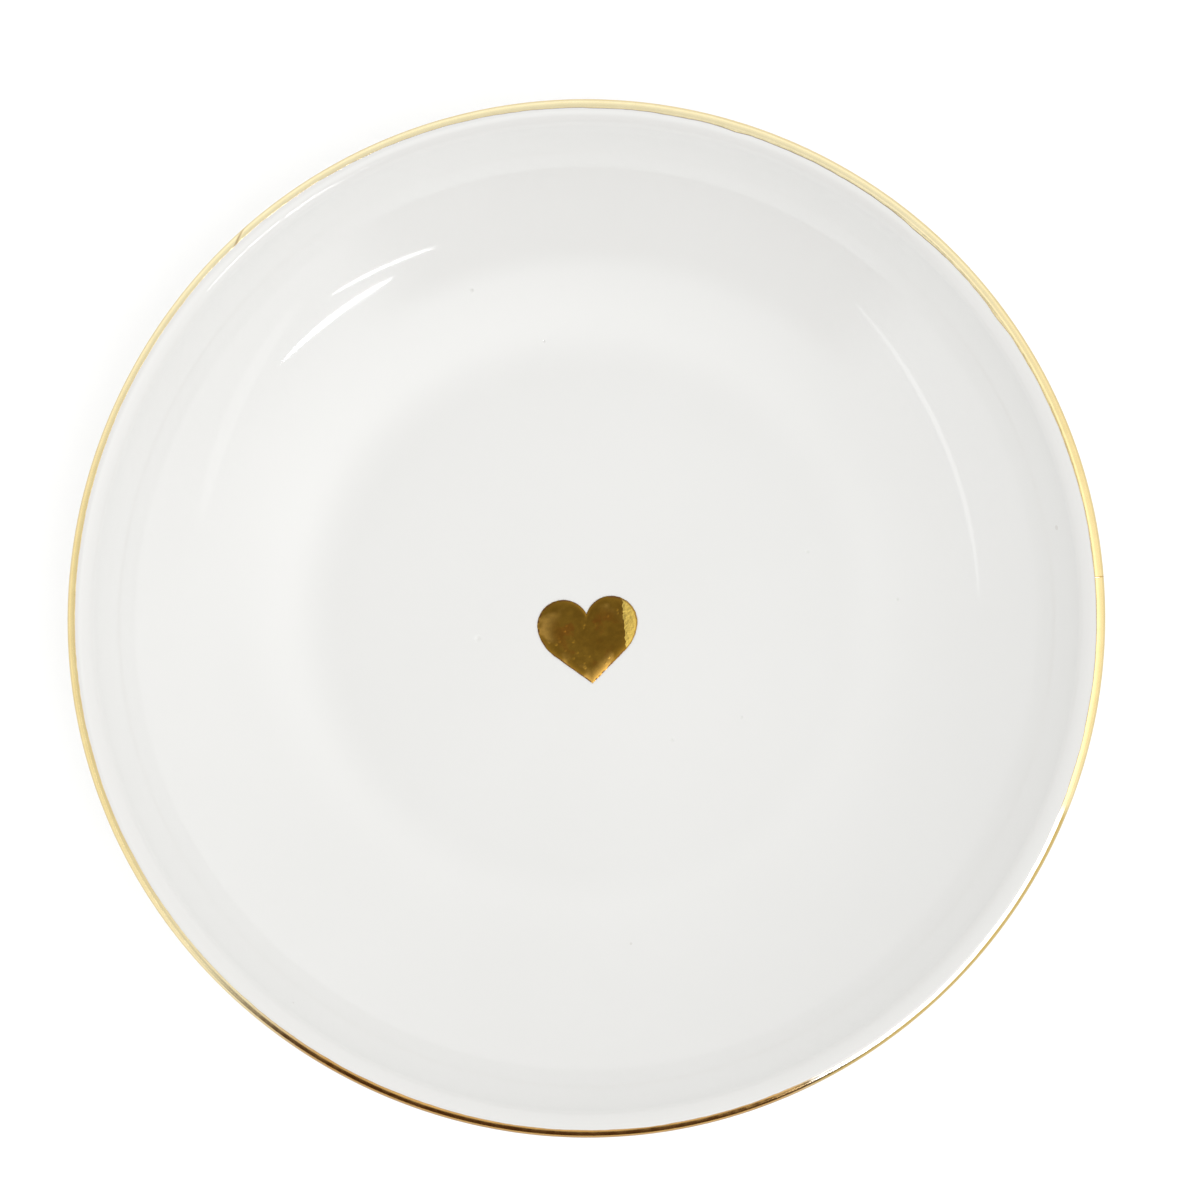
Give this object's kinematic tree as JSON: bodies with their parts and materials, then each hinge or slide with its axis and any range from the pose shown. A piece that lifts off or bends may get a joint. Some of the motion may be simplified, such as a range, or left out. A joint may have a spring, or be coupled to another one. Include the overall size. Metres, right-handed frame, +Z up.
{
  "type": "ring dish",
  "caption": "Round shallow glazed porcelain dish with a gilded lip and a small gold heart on its floor, for rings and trinkets.",
  "frame": {"origin": "centre of the foot ring's resting face, which is the centre of the bottom of the bounding box", "axes": "+Z up out of the dish, along its axis of revolution; +Y towards the notch of the gold heart; +X to the right when the heart is seen from above with its notch away from the viewer"},
  "size_m": [0.105, 0.105, 0.02],
  "materials": {
    "porcelain": "matt unglazed fired porcelain",
    "glaze": "clear-white gloss glaze with a few pinholes",
    "base_glaze": "gloss glaze",
    "rim_gold": "bright fired gold lustre, slightly uneven",
    "heart_gold": "fired gold transfer with an orange-peel surface"
  },
  "bodies": {
    "root": {"dish_body": "porcelain", "glaze_coat": "glaze", "base_glaze": "base_glaze", "gold_rim": "rim_gold", "gold_heart": "heart_gold"}
  },
  "joints": []
}
